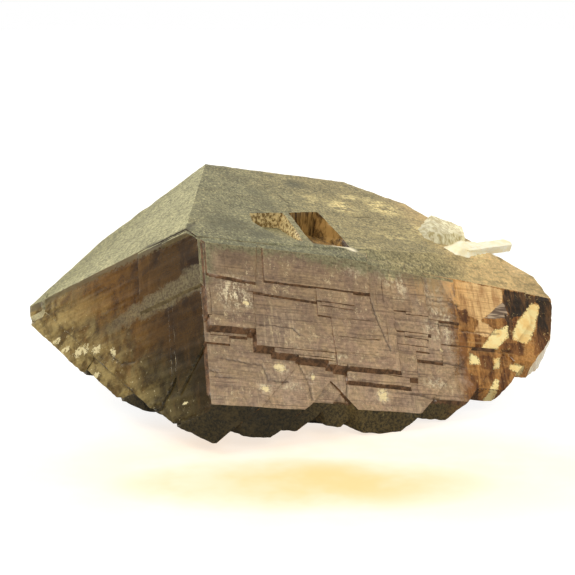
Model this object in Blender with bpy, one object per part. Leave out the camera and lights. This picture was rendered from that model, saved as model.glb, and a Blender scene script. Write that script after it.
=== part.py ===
"""Smoky quartz: one flattened, doubly terminated crystal grown from parallel crystals that step down its length."""

import math
import random

import bmesh
import bpy
from mathutils import Matrix, Vector

MM = 0.001

# Quartz: six prism faces stand round the c axis, and a rhombohedral face slopes in from each of them at both ends.
RISE = 38.2  # how many degrees a rhombohedral face's normal stands above or below the basal plane
SECTORS = {
    "front": -90,
    "front_left": -150,
    "back_left": 150,
    "back": 90,
    "back_right": 30,
    "front_right": -30,
}
ENDS = {"": 0, "top": 1, "bottom": -1}

# How the crystal lies: turned about its c axis, leaning back, and rolled a little to its left.
YAW, LEAN, ROLL = math.radians(26), math.radians(39), math.radians(7)
FLOOR = 17.6  # the resting plane, below the crystal's centre

# All lengths are in mm. A face is given by its distance from the crystal's centre, or from the centre named beside it.
FRONT = 18.1  # the front prism face where nothing stands proud of it
SLOPE = 15.1  # the long upper front face
CROWN = {  # the upper faces, which every crystal of the stack shares but for a small step
    "front top": SLOPE,
    "front_left top": 17.7,
    "back top": 25.6,
    "back_right top": 43.2,
    "back_left top": 33.6,
    "front_left": 19.4,
    "back_left": 36.7,
    "back_left bottom": 29.4,
    "back": 17.3,
    "back_right": 34.8,
}
CROWN_STEP = 0.12
# The steeper face that cuts the upper front edge towards the right, as its turn and rise, and the distance at which it
# meets a front face RIGHT_FRONT away. It moves out with the front face, so that their border stays one line.
RIGHT_FRONT = 17.8
BEVEL_TURN, BEVEL_RISE, BEVEL, BEVEL_SHARE = -88.0, 21.7, 17.12, 0.69

# The stack, from left to right along the bottom edge: each crystal ends below in a blunt tip of its own.
STACK = (
    {"front": FRONT, "front_left": 19.5, "front bottom": 32.1, "back bottom": 9.7, "front_left bottom": 33.6,
     "back_right bottom": 8.6},
    {"front": 18.0, "front bottom": 32.0, "back bottom": 8.6, "front_left bottom": 29.9, "back_right bottom": 13.9},
    {"front": 17.7, "front bottom": 30.8, "back bottom": 7.9, "front_left bottom": 26.0, "back_right bottom": 16.4},
    {"front": 17.5, "front bottom": 30.4, "back bottom": 6.9, "front_left bottom": 18.3, "back_right bottom": 20.8},
    {"front": 18.0, "front bottom": 31.6, "back bottom": 7.1, "front_left bottom": 15.1, "back_right bottom": 27.9},
    {"front": 17.7, "front bottom": 29.6, "back bottom": 5.2, "front_left bottom": 6.5, "back_right bottom": 32.6},
    {"front": 17.4, "front bottom": 27.6, "back bottom": 2.4, "front_left bottom": -1.4, "back_right bottom": 36.4},
)
# The right end is a crystal of its own, lower on top and cut below by the front right face.
RIGHT_END = {"front": RIGHT_FRONT, "front top": 13.5, "back_right": 39.8, "front_right bottom": 51.4,
             "front bottom": 24.6, "back bottom": -0.7, "front_left bottom": -13.5}
RIGHT_SIDE = (-30.0, -12.8, 57.2)  # turn, rise and distance of the steep face that blunts its sharp right edge
# The left end steps up to its tip in three crystals.
LEFT_END = (
    {"front_left": 19.5, "front bottom": 23.5, "back bottom": 10.0, "front_left bottom": 31.4,
     "back_right bottom": 33.0},
    {"front_left": 19.3, "front bottom": 17.6, "back bottom": 12.6, "front_left bottom": 28.4,
     "back_right bottom": 36.0},
    {"front_left": 19.6, "front bottom": 4.4, "back bottom": 13.4, "front_left bottom": 23.8},
)
# A small crystal rounds off the left tip.
TIP = {"about": (-30.0, 16.6, 2.6), "front": 3.0, "front_left": 2.3, "back_left": 2.2, "back": 3.0, "back_right": 4.0,
       "front_right": 4.0, "front top": 3.2, "front_left top": 2.3, "back_left top": 2.4, "back top": 3.0,
       "front bottom": 3.0, "front_left bottom": 2.6, "back_left bottom": 2.7, "back bottom": 3.0}
# Blunt crystals under the back, on which it stands.
FEET = (
    {"about": (1.5, 7.5, 5.5), "back bottom": 20.0, "front bottom": 8.0, "front_left bottom": 12.0,
     "back_right bottom": 13.0, "back_left bottom": 15.0, "front_right bottom": 10.0, "back": 7.5, "front": 7.0,
     "back top": 6.0, "front_left top": 8.0, "back_right top": 8.0},
    {"about": (27.0, 8.0, 9.0), "back bottom": 22.0, "front bottom": 12.0, "front_left bottom": 12.5,
     "back_right bottom": 13.0, "back_left bottom": 16.0, "front_right bottom": 10.5, "back": 8.4, "front": 7.0,
     "back top": 5.0, "front_left top": 8.2, "back_right top": 5.0},
)

# Growth plates on the front face: left and right edge along the length, lower edge along the c axis, how far proud,
# and how many degrees the lower edge falls to the right.
PLATES = (
    (-18.0, -2.7, -6.3, 1.35, 6.0),
    (-1.1, 18.3, -6.8, 1.30, 1.5),
    (-4.6, 8.1, -9.1, 1.05, 4.0),
    (8.1, 15.0, -9.4, 1.12, 3.0),
    (9.0, 15.0, -10.2, 1.02, 3.0),
    (8.1, 10.6, -12.0, 0.97, 3.0),
    (-18.0, -10.8, -13.6, 1.08, 0.0),
    (-11.2, -3.3, -15.5, 1.00, 0.0),
    (-11.0, -4.8, -16.8, 0.30, 0.0),
    (-18.0, -7.8, -18.2, 0.22, 1.0),
    (-3.3, 10.5, -18.5, 0.80, 1.0),
    (-0.3, 10.5, -19.5, 0.74, 2.0),
    (3.9, 10.5, -20.0, 0.70, 2.0),
    (9.2, 12.4, -20.8, 0.66, 2.0),
    (10.4, 18.4, -12.2, 0.95, 0.0),
    (10.5, 19.4, -15.6, 0.93, 1.0),
    (10.6, 20.7, -18.6, 0.91, 1.0),
    (10.7, 22.3, -21.0, 0.89, 1.0),
    (12.4, 24.0, -23.5, 0.35, 2.0),
    (17.0, 26.1, -9.6, 0.78, 0.0),
    (25.0, 29.2, -10.1, 0.72, 0.0),
    (18.0, 29.2, -13.4, 0.64, 2.0),
    (24.2, 28.6, -14.5, 0.56, 3.0),
    (19.0, 28.4, -15.8, 0.48, 2.0),
    (24.3, 28.6, -16.9, 0.38, 3.0),
    (20.0, 25.6, -21.9, 0.42, 4.0),
    (22.0, 31.0, -18.4, 0.24, 3.0),
    (28.0, 35.4, -10.5, 0.30, 2.0),
    (-10.0, -2.0, -24.0, 0.15, 2.0),
)

# Plates on the left face: distance back from the front edge at both ends, lower edge, how far proud.
LEFT_PLATES = (
    (-2.0, 15.0, -7.9, 0.50),
    (-2.0, 9.0, 2.2, 0.85),
)

# The pit in the upper front face: outlines as (along the length, up the slope), and depths at the lip and the far wall.
PITS = (
    (((0.9, 0.0), (1.6, 4.4), (8.7, 6.6), (8.6, -7.6), (3.4, -6.2)), 0.5, 2.6),
    (((9.7, -8.2), (10.2, 7.0), (16.6, 9.2), (17.3, -8.4)), 0.6, 4.2),
)

# Plates on the hidden faces: face, its distance, how many, their range along it, and their range up it with its slope.
HIDDEN = (
    ("back", 17.1, 12, (-20.0, 26.0), (10.0, 17.0, 0.0)),
    ("back_right", 34.4, 9, (4.0, 34.0), (6.0, 16.0, -0.45)),
    ("back bottom", 8.0, 12, (-8.0, 26.0), (-8.0, 12.0, 0.0)),
    ("back top", 25.3, 5, (-8.0, 24.0), (8.0, 17.0, 0.0)),
)

KNOB = {"about": (42.6, -6.4, 13.4), "front top": 3.0, "front": 5.0, "front_left": 3.4, "back_right": 3.9,
        "back": 4.5, "front_right": 4.0, "back_left": 4.0, "back_right top": 3.6, "front_left top": 4.2,
        "back top": 4.4, "front bottom": 5.0, "back bottom": 4.5}
NEEDLE = ((40.9, -14.2, 6.5), (55.2, -9.6, 12.2), 1.3, 0.75)  # its two ends, width and half thickness


def facing(turn, rise):
    """A direction given in degrees round the c axis, from X along the length, and above the basal plane."""
    turn, rise = math.radians(turn), math.radians(rise)
    return Vector((math.cos(turn) * math.cos(rise), math.sin(turn) * math.cos(rise), math.sin(rise)))


def normal(face):
    """The outward normal of a named face in the crystal's own frame."""
    sector, _, end = face.partition(" ")
    return facing(SECTORS[sector], ENDS[end] * RISE)


def bevel(front, k=0):
    """The plane of the steeper upper face over a front face this far away."""
    return facing(BEVEL_TURN, BEVEL_RISE), BEVEL + BEVEL_SHARE * (front - RIGHT_FRONT) - 0.01 * k


def convex(planes, reach=150.0):
    """The solid inside all the planes, each a (normal, distance from the origin)."""
    bm = bmesh.new()
    bmesh.ops.create_cube(bm, size=2 * reach)
    for n, distance in planes:
        n = n.normalized()
        cut = bmesh.ops.bisect_plane(
            bm,
            geom=bm.verts[:] + bm.edges[:] + bm.faces[:],
            plane_co=n * distance,
            plane_no=n,
            clear_outer=True,
        )
        rim = [e for e in cut["geom_cut"] if isinstance(e, bmesh.types.BMEdge)]
        if rim:
            bmesh.ops.edgeloop_fill(bm, edges=rim)
    return finished(bm)


def hull(points):
    bm = bmesh.new()
    for p in points:
        bm.verts.new(p)
    bmesh.ops.convex_hull(bm, input=bm.verts[:])
    return finished(bm)


def finished(bm):
    bmesh.ops.recalc_face_normals(bm, faces=bm.faces)
    mesh = bpy.data.meshes.new("growth")
    bm.to_mesh(mesh)
    bm.free()
    obj = bpy.data.objects.new("growth", mesh)
    bpy.context.scene.collection.objects.link(obj)
    return obj


def crystal(faces, crown=()):
    """A crystal with these faces, measured from its own centre, kept within the named faces of the crown."""
    centre = Vector(faces.get("about", (0, 0, 0)))
    named = [(normal(f), d) for f, d in faces.items() if f != "about"]
    kept = [(normal(f), CROWN[f] - 0.2) for f in crown]
    return convex([(n, d + n.dot(centre)) for n, d in named] + kept)


def combine(body, others, operation):
    """Joins the others to the body, or cuts them away, in one exact step, and drops them."""
    group = bpy.data.collections.new("others")
    bpy.context.scene.collection.children.link(group)
    for other in others:
        bpy.context.scene.collection.objects.unlink(other)
        group.objects.link(other)
    step = body.modifiers.new("step", "BOOLEAN")
    step.solver = "EXACT"
    step.operation = operation
    step.operand_type = "COLLECTION"
    step.collection = group
    bpy.context.view_layer.update()
    graph = bpy.context.evaluated_depsgraph_get()
    mesh = bpy.data.meshes.new_from_object(body.evaluated_get(graph))
    body.modifiers.clear()
    body.data = mesh
    for other in others:
        bpy.data.objects.remove(other)
    bpy.data.collections.remove(group)


def stack():
    """The crystals that share the crown, as solids."""
    grown = [{**CROWN, "front": FRONT, **own} for own in LEFT_END + STACK]
    for k, faces in enumerate(grown):
        for f in CROWN:
            faces[f] -= CROWN_STEP * k
    solids = [[(normal(f), d) for f, d in faces.items()] for faces in grown]
    end = {**CROWN, **RIGHT_END}
    solids.append([(normal(f), d - 0.03) for f, d in end.items()] + [(facing(*RIGHT_SIDE[:2]), RIGHT_SIDE[2])])
    fronts = [faces["front"] for faces in grown + [end]]
    return [convex(planes + [bevel(front, k)]) for k, (planes, front) in enumerate(zip(solids, fronts))]


def plate(k, left, right, bottom, proud, fall):
    """A growth plate on the front face, with prism faces at its sides and a rhombohedral ledge below."""
    face, surface = normal("front"), FRONT + proud
    tilt = Matrix.Rotation(math.radians(fall), 3, "Y")
    sides = []
    for name, point in (
        ("front_left", (left, -surface, bottom)),
        ("front_right", (right, -surface, bottom)),
        ("front bottom", (0.5 * (left + right), -surface, bottom)),
    ):
        n = tilt @ normal(name)
        sides.append((n, n.dot(Vector(point))))
    sides.append((normal("front_left"), CROWN["front_left"] + 0.02 * k))
    sides.append((normal("front_left top"), CROWN["front_left top"] - 0.1 - 0.03 * k))
    slope = normal("front top")
    sides += [(slope, SLOPE - 0.1 - 0.04 * k), bevel(surface, k)]
    return convex([(face, surface), (normal("back"), -10.0 - 0.3 * k)] + sides)


def left_plate(k, start, end, bottom, proud):
    """A growth plate on the left face."""
    face, slope_face = normal("front_left"), normal("front top")
    surface = CROWN["front_left"] + proud
    along = Vector((-0.5, math.sqrt(0.75), 0.0))
    edge = Vector((-10.6, -19.4, 0.0))
    edge += face * (surface - face.dot(edge))
    sides = []
    for name, reach, height in (("front", start, 0), ("back_left", end, 0), ("front_left bottom", start, bottom)):
        n = normal(name)
        sides.append((n, n.dot(edge + along * reach + Vector((0, 0, height)))))
    sides += [(normal("front"), FRONT + 0.6), (slope_face, SLOPE - 0.12)]
    inner = (normal("back_right"), -CROWN["front_left"] + 6.0 + k)
    return convex([(face, surface), (normal("front_left top"), 17.55 - 0.1 * k), inner, (normal("back"), 16.9)] + sides)


def pit(outline, lip, wall):
    """A cutter for the upper front face: deepest below the edge that lies highest up the slope."""
    out = normal("front top")
    up_slope = Vector((0, out.z, -out.y))
    centre = Vector([sum(p[i] for p in outline) / len(outline) for i in (0, 1)])
    low, high = min(p[1] for p in outline), max(p[1] for p in outline)
    points = []
    for u, v in outline:
        depth = lip + (wall - lip) * (v - low) / (high - low)
        inner = centre + (Vector((u, v)) - centre) * 0.86
        outer = centre + (Vector((u, v)) - centre) * 1.10
        points.append(Vector((1, 0, 0)) * inner[0] + up_slope * inner[1] + out * (SLOPE - depth))
        points.append(Vector((1, 0, 0)) * outer[0] + up_slope * outer[1] + out * (SLOPE + 2.0))
    return hull(points)


def needle(start, end, width, thickness):
    """The slim crystal that lies across the right end, wedge-ended."""
    start, end = Vector(start), Vector(end)
    along = (end - start).normalized()
    flat = normal("front top")
    side = along.cross(flat).normalized()
    flat = side.cross(along)
    planes = [(flat, flat.dot(start) + thickness), (-flat, -flat.dot(start) + thickness)]
    planes += [(side, side.dot(start) + width), (-side, -side.dot(start) + width)]
    for tip, direction in ((end, along), (start, -along)):
        for lean in (0.9, -0.5):
            n = (direction + lean * side).normalized()
            planes.append((n, n.dot(tip)))
    return convex(planes)


def ledges(seed):
    """Small plates over the hidden faces, each bounded by the crystal's own faces."""
    pick = random.Random(seed)
    solids = []
    for host, distance, count, span, rise in HIDDEN:
        face = normal(host)
        across = face.cross(Vector((0, 0, 1))).normalized()
        up = across.cross(face)
        for _ in range(count):
            u = pick.uniform(*span)
            v = pick.uniform(rise[0], rise[1]) + rise[2] * (u - span[0])
            size, proud = pick.uniform(2.5, 6.5), pick.uniform(0.3, 1.0)
            faces = {f"{name} {end}".strip(): size * pick.uniform(0.6, 1.4) for name in SECTORS for end in ENDS}
            faces[host] = 2.0 + proud
            faces["about"] = face * (distance - 2.0) + across * u + up * v
            solids.append(crystal(faces, crown=[f for f in CROWN if f != host]))
    for empty in [s for s in solids if not s.data.polygons]:
        solids.remove(empty)
        bpy.data.objects.remove(empty)
    return solids


def smoky_quartz():
    """Clear brown quartz."""
    material = bpy.data.materials.new("smoky_quartz")
    material.use_nodes = True
    shader = material.node_tree.nodes["Principled BSDF"]
    shader.inputs["Base Color"].default_value = (0.32, 0.23, 0.17, 1.0)
    shader.inputs["Roughness"].default_value = 0.25
    shader.inputs["IOR"].default_value = 1.544
    shader.inputs["Transmission Weight"].default_value = 0.6
    return material


def clear_scene():
    for obj in list(bpy.data.objects):
        bpy.data.objects.remove(obj)


def rest(body):
    """Lays the crystal down, flattens what would pass the resting plane and centres it over the origin, in metres."""
    pose = Matrix.Rotation(-ROLL, 4, "Y") @ Matrix.Rotation(-LEAN, 4, "X") @ Matrix.Rotation(YAW, 4, "Z")
    bm = bmesh.new()
    bm.from_mesh(body.data)
    bmesh.ops.transform(bm, matrix=pose, verts=bm.verts)
    cut = bmesh.ops.bisect_plane(
        bm,
        geom=bm.verts[:] + bm.edges[:] + bm.faces[:],
        plane_co=(0, 0, -FLOOR),
        plane_no=(0, 0, -1),
        clear_outer=True,
    )
    rim = [e for e in cut["geom_cut"] if isinstance(e, bmesh.types.BMEdge)]
    bmesh.ops.holes_fill(bm, edges=rim)
    bmesh.ops.triangulate(bm, faces=bm.faces)
    low = [min(v.co[i] for v in bm.verts) for i in range(3)]
    high = [max(v.co[i] for v in bm.verts) for i in range(3)]
    middle = Vector(((low[0] + high[0]) / 2, (low[1] + high[1]) / 2, -FLOOR))
    bmesh.ops.translate(bm, vec=-middle, verts=bm.verts)
    bmesh.ops.scale(bm, vec=(MM, MM, MM), verts=bm.verts)
    bm.to_mesh(body.data)
    bm.free()
    print("centre of the crystal, mm:", [round(-m, 3) for m in middle])


def main():
    clear_scene()
    solids = stack()
    body = solids[0]
    body.name = body.data.name = "smoky_quartz"
    grown = solids[1:] + [crystal(f) for f in FEET] + [plate(k, *p) for k, p in enumerate(PLATES)]
    grown += [left_plate(k, *p) for k, p in enumerate(LEFT_PLATES)] + ledges(5) + [crystal(KNOB), crystal(TIP)]
    combine(body, grown, "UNION")
    combine(body, [pit(*outline) for outline in PITS], "DIFFERENCE")
    combine(body, [needle(*NEEDLE)], "UNION")
    rest(body)
    body.data.name = "smoky_quartz"
    body.data.materials.clear()
    body.data.materials.append(smoky_quartz())


main()
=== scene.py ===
"""Smoky quartz: the crystal's fine surface, its clear brown body, the dust on it and the veils in it."""

import math

import bmesh
import bpy
import numpy as np
from mathutils import Matrix, Vector, noise


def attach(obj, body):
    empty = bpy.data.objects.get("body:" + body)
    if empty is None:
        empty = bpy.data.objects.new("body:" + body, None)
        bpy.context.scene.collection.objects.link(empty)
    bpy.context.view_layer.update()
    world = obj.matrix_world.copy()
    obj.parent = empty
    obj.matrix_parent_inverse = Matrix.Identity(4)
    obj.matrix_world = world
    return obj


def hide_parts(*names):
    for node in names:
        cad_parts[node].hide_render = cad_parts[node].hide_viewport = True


MM = 0.001

# The crystal's own frame: X along its length, Z along the c axis, in mm from its centre.
YAW, LEAN, ROLL = math.radians(26), math.radians(39), math.radians(7)
CENTRE = Vector((-11.221, -0.639, 17.6))
POSE = Matrix.Rotation(-ROLL, 3, "Y") @ Matrix.Rotation(-LEAN, 3, "X") @ Matrix.Rotation(YAW, 3, "Z")

# The crystal's faces: the prism faces by their turn round the c axis, and above and below each of them the
# rhombohedral face that closes the crystal, RISE degrees up or down.
TURNS = (-90, -150, 150, 90, 30, -30)
SECTORS = dict(zip(("front", "front_left", "back_left", "back", "back_right", "front_right"), TURNS))
ENDS = {"": 0, "top": 1, "bottom": -1}
RISE = 38.2
FRONT, SLOPE, BEVEL = 17.8, 15.1, 17.2  # how far out the front face, the upper front face and the bevel lie
GROWTH_TILT = 0.035  # how much the growth lines of the prism faces fall, in mm for each mm along the length

# The camera, in mm.
LOOK_AT = Vector((-0.721, -0.639, 19.6))
DISTANCE, ELEVATION = 243.0, math.radians(12)
LENS, SENSOR = 84.52, 36.0


def facing(turn, rise):
    """A direction given in degrees round the c axis, from X along the length, and above the basal plane."""
    turn, rise = math.radians(turn), math.radians(rise)
    return Vector((math.cos(turn) * math.cos(rise), math.sin(turn) * math.cos(rise), math.sin(rise)))


FACES = {
    f"{sector} {end}".strip(): facing(turn, sign * RISE)
    for sector, turn in SECTORS.items()
    for end, sign in ENDS.items()
}
FACES["bevel"] = facing(-88.0, 21.7)
FACES["side"] = facing(-30.0, -12.8)


def to_crystal(points):
    """Row coordinates in metres, as crystal coordinates in mm."""
    return (np.asarray(points) / MM - np.array(CENTRE)) @ np.array(POSE)


def to_row(points):
    """Crystal coordinates in mm, as row coordinates in metres."""
    return (np.asarray(points) @ np.array(POSE).T + np.array(CENTRE)) * MM


def rgb(red, green, blue):
    """A colour as it shows on a screen, 0 to 255, turned into the linear colour of a shader."""
    linear = [((c / 255 + 0.055) / 1.055) ** 2.4 if c > 10 else c / 255 / 12.92 for c in (red, green, blue)]
    return (*linear, 1.0)


def linked(name, data):
    """A new object in the scene that holds the data."""
    obj = bpy.data.objects.new(name, data)
    bpy.context.scene.collection.objects.link(obj)
    return obj


class Graph:
    """Adds shader nodes to a tree. Most methods return an output socket."""

    def __init__(self, tree):
        self.tree = tree

    def node(self, kind, **settings):
        made = self.tree.nodes.new("ShaderNode" + kind)
        for name, value in settings.items():
            setattr(made, name, value)
        return made

    def put(self, socket, value):
        """Links a socket into another, or sets it to a value."""
        if isinstance(value, bpy.types.NodeSocket):
            self.tree.links.new(value, socket)
        else:
            socket.default_value = value

    def fill(self, made, *values):
        """Puts the values into a node's inputs, in order, and returns its first output."""
        for socket, value in zip(made.inputs, values):
            self.put(socket, value)
        return made.outputs[0]

    def math(self, operation, a, b=0.0, clamp=False):
        return self.fill(self.node("Math", operation=operation, use_clamp=clamp), a, b)

    def chained(self, operation, terms):
        result = terms[0]
        for term in terms[1:]:
            result = self.math(operation, result, term)
        return result

    def total(self, *terms):
        return self.chained("ADD", terms)

    def product(self, *terms):
        return self.chained("MULTIPLY", terms)

    def highest(self, *terms):
        return self.chained("MAXIMUM", terms)

    def less(self, a, b):
        return self.math("SUBTRACT", a, b)

    def inverse(self, a):
        return self.math("SUBTRACT", 1.0, a, clamp=True)

    def ramp(self, a, low, high, to_low=0.0, to_high=1.0):
        """Smoothly from to_low at low, to to_high at high. Low may be above high."""
        made = self.node("MapRange", interpolation_type="SMOOTHSTEP")
        return self.fill(made, a, low, high, to_low, to_high)

    def mix(self, share, a, b):
        made = self.node("Mix", data_type="RGBA")
        self.put(made.inputs[0], share)
        self.put(made.inputs[6], a)
        self.put(made.inputs[7], b)
        return made.outputs[2]

    def grade(self, a, low, high, first, second):
        """From the first colour at low, smoothly to the second at high."""
        return self.mix(self.ramp(a, low, high), first, second)

    def paint(self, color, over, *masks):
        """The colour with another laid over it, by the product of the masks."""
        return self.mix(self.product(*masks), color, over)

    def blend(self, share, a, b):
        """From number a to number b."""
        made = self.node("Mix", data_type="FLOAT")
        self.put(made.inputs[0], share)
        self.put(made.inputs[2], a)
        self.put(made.inputs[3], b)
        return made.outputs[0]

    def tint(self, color, brightness):
        """The colour, times a brightness."""
        made = self.node("VectorMath", operation="SCALE")
        self.put(made.inputs[0], color[:3] if isinstance(color, tuple) else color)
        self.put(made.inputs[3], brightness)
        return made.outputs[0]

    def stretch(self, vector, *scale):
        return self.fill(self.node("VectorMath", operation="MULTIPLY"), vector, scale)

    def shift(self, vector, offset):
        return self.fill(self.node("VectorMath", operation="ADD"), vector, offset)

    def along(self, vector, direction):
        """How far the vector reaches in a direction."""
        made = self.node("VectorMath", operation="DOT_PRODUCT")
        self.fill(made, vector, direction)
        return made.outputs["Value"]

    def noise(self, vector, scale, detail=3.0, rough=0.55, distortion=0.0, color=False):
        made = self.node("TexNoise")
        self.put(made.inputs["Vector"], vector)
        self.put(made.inputs["Scale"], scale)
        self.put(made.inputs["Detail"], detail)
        self.put(made.inputs["Roughness"], rough)
        self.put(made.inputs["Distortion"], distortion)
        return made.outputs[1 if color else 0]

    def blocks(self, vector, feature):
        """Square-cornered cells about one unit across: the feature's distance and the cell's colour."""
        made = self.node("TexVoronoi", feature=feature)
        made.distance = "CHEBYCHEV"
        self.put(made.inputs["Vector"], vector)
        self.put(made.inputs["Scale"], 1.0)
        return made.outputs["Distance"], made.outputs["Color"]

    def attribute(self, name):
        return self.node("Attribute", attribute_name=name).outputs["Fac"]

    def split(self, vector):
        made = self.node("SeparateXYZ")
        self.fill(made, vector)
        return made.outputs[0], made.outputs[1], made.outputs[2]

    def join(self, x, y, z):
        return self.fill(self.node("CombineXYZ"), x, y, z)

    def spot(self, u, v, spot):
        """1 near the centre of an ellipse, falling to 0 a quarter past its rim."""
        across, up, width, height = spot[:4]
        u = self.math("DIVIDE", self.less(u, across), width)
        v = self.math("DIVIDE", self.less(v, up), height)
        out = self.math("SQRT", self.total(self.product(u, u), self.product(v, v)))
        return self.ramp(out, 1.25, 0.25)

    def spots(self, u, v, spots):
        """The highest of several spots. A fifth number, where a spot has one, is its strength."""
        return self.highest(*[self.product(self.spot(u, v, one), *one[4:]) for one in spots])

    def crystal_coordinates(self):
        """Object coordinates turned into the crystal's own frame, in mm."""
        place = self.node("TexCoord").outputs["Object"]
        turn = POSE.transposed()
        mapping = self.node("Mapping", vector_type="POINT")
        self.put(mapping.inputs["Vector"], place)
        self.put(mapping.inputs["Scale"], (1 / MM,) * 3)
        self.put(mapping.inputs["Rotation"], turn.to_euler("XYZ"))
        self.put(mapping.inputs["Location"], -(turn @ CENTRE))
        return mapping.outputs[0]


# --- The crystal's surface ---------------------------------------------------

# The longest edge of the mesh, in mm: on the faces that show from in front, on triangles of no named face, on
# the other faces, and beside a crack.
FINE = {"front": 0.48, "front_left": 0.75, "front_right": 0.8, "front top": 0.95, "front_left top": 0.95}
FINE |= {name: 0.7 for name in ("front bottom", "front_left bottom", "front_right bottom", "bevel", "side")}
ODD, COARSE, NEAR_CRACKS = 0.8, 2.5, 0.18
SPLIT_ROUNDS, CRACK_ROUNDS = 12, 3  # how often the long edges are split, at most
CRACK_BELT = 1.3  # how far from a crack the mesh is that fine, as a share of the crack's reach
SHARP = math.radians(20)  # a crease is an edge that turns by more than this
SAME_PLANE = 0.985  # the least cosine between a triangle's normal and that of the face it belongs to

# The faces that each mask of the material picks out.
GROUPS = {
    "front": ("front",),
    "left": ("front_left",),
    "crown": ("front top", "front_left top", "back top", "back_left top", "bevel"),
    "crown_left": ("front_left top",),
    "bevel": ("bevel",),
    "under": ("front bottom", "front_left bottom", "back bottom", "back_left bottom"),
    "behind": ("back", "back_left", "back_right"),
    "outer": ("side", "front_right", "front_right bottom"),
}
# The axis of the slim crystal, and how far from it that crystal reaches.
SPIKE = ((40.9, -14.2, 6.5), (55.2, -9.6, 12.2))
SPIKE_REACH = 1.9
FAR = 99.0
# Boxes, as two corners: round the knob, round the pit and round the edges of the plates on the front face.
KNOB_BOX = ((35.0, -FAR, 8.0), (FAR, FAR, FAR))
PIT_BOX = ((-1.5, -17.0, 1.0), (19.0, FAR, FAR))
PLATES_BOX = ((-12.0, -FAR, -27.2), (42.0, -17.3, 1.0))
PIT_LIP, PIT_DEPTH = 0.06, 6  # how far below the upper face the pit's inside begins and ends

# Cracks in the front face, as points along the length and up the c axis.
CRACKS = (
    ((3.9, -20.5), (5.3, -23.8), (5.9, -27.0)),
    ((-2.4, -14.7), (0.6, -14.6), (3.4, -14.9), (4.4, -16.0)),
    ((-10.6, -24.1), (-8.1, -24.2)),
    ((-11.7, -23.1), (-10.2, -23.3)),
    ((-10.0, -20.7), (-5.6, -21.3), (-2.4, -21.7), (-1.6, -24.3), (1.9, -24.2)),
    ((12.5, -20.8), (12.0, -27.3)),
    ((18.3, -7.9), (18.7, -10.2), (20.2, -15.7), (20.9, -17.6)),
    ((30.8, -6.7), (36.1, -7.2)),
    ((29.5, -11.1), (35.2, -11.6)),
    ((35.7, -12.1), (43.4, -12.1)),
    ((29.5, -18.4), (36.1, -19.0)),
    ((24.1, -24.9), (31.0, -25.7)),
)
CRACK_REACH, CRACK_DEPTH = 0.2, 0.1
FRONT_CRACKS_Y = -16.8  # the front face's cracks are only in front of here
# Cracks in the upper and left faces, each with its reach.
CROWN_CRACKS = (
    (0.22, ((8.6, 2.9, 28.1), (10.9, -0.7, 23.5), (11.8, -4.8, 18.4), (10.0, -7.9, 14.3))),
    (0.22, ((23.6, -6.4, 16.3), (27.8, -5.8, 17.1))),
    (0.25, ((36.7, -12.1, 9.1), (37.9, -14.0, 6.7))),
    # These two follow the groove at the top of the left face; the dark they paint there is painted shade.
    (0.85, ((-17.4, -7.9, 4.4), (-16.1, -11.1, 3.8), (-14.4, -14.3, 3.6), (-12.9, -16.4, 3.6))),
    (0.50, ((-12.9, -16.4, 3.6), (-10.9, -14.4, 6.2))),
    (0.30, ((-22.6, 0.4, -12.5), (-21.7, -1.2, -14.4), (-21.2, -2.1, -15.6), (-19.7, -4.7, -16.3))),
    (0.25, ((-24.6, 3.8, -11.0), (-23.3, 1.6, -13.0))),
)

# What shows through the clear right end or on it, as outlines along the length and up the c axis.
PAINTED = {
    # Painted light: the bright background seen through the clear end, as golden windows.
    "gold": (
        ((51.9, -4.9), (53.3, -5.2), (52.3, -7.9), (51.2, -10.4), (49.9, -12.5), (48.9, -13.2),
         (46.1, -12.8), (46.7, -11.0), (47.9, -9.1), (49.7, -7.3)),
        ((39.2, -15.2), (40.9, -13.3), (42.5, -11.6), (45.4, -10.3), (45.2, -12.5), (43.4, -14.0),
         (42.4, -15.1), (39.8, -15.3)),
        ((37.2, -16.1), (38.5, -16.6), (38.8, -18.1), (36.6, -18.2)),
        ((41.9, -16.7), (43.1, -16.8), (42.6, -18.4), (41.5, -18.6)),
        ((45.2, -17.4), (48.0, -17.6), (47.1, -19.2), (44.6, -18.4)),
        ((39.1, -24.3), (40.2, -22.5), (41.6, -20.5), (42.1, -20.9), (40.7, -24.4)),
    ),
    # Painted shade: darker parts mirrored inside the clear end.
    "dark": (
        ((46.2, -3.0), (55.8, -3.5), (55.2, -5.2), (52.8, -4.6), (48.8, -7.8), (46.5, -8.6), (45.5, -5.3)),
        ((45.5, -8.0), (46.6, -8.2), (46.5, -12.8), (45.6, -12.8)),
        ((53.8, -4.1), (56.4, -4.5), (54.5, -13.2), (50.3, -15.4), (51.2, -12.4)),
        ((43.4, -14.0), (48.5, -13.4), (47.6, -15.8), (43.2, -15.0)),
        ((38.6, -16.6), (41.4, -16.4), (41.0, -18.9), (38.9, -18.6)),
        ((40.4, -24.6), (41.1, -22.8), (43.6, -18.5), (45.1, -18.0), (43.8, -21.3), (42.1, -24.1)),
        ((34.0, -24.2), (35.0, -19.9), (37.8, -20.4), (37.8, -24.9), (35.5, -24.7)),
        ((36.2, -8.0), (37.5, -7.9), (37.3, -10.1), (36.1, -10.2)),
        ((35.4, -12.8), (36.8, -12.6), (35.2, -24.2), (33.8, -24.3)),
    ),
    "tan": (
        ((33.0, -1.5), (45.8, -3.0), (45.3, -5.3), (43.0, -7.5), (40.0, -9.6), (36.6, -8.4), (34.0, -5.0)),
        ((40.0, -9.6), (42.4, -11.2), (40.7, -13.0), (38.6, -12.0)),
    ),
    "grey": (
        ((45.7, -5.7), (46.2, -8.5), (41.3, -9.1), (43.8, -6.9)),
    ),
}
PAINTED_Y = -12.0  # the outlines count only in front of here
SLASH = ((13.9, -16.4, 3.6), (16.0, -16.6, 3.3), (17.4, -17.2, 2.5))  # a clean break at the pit's lower edge


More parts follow.
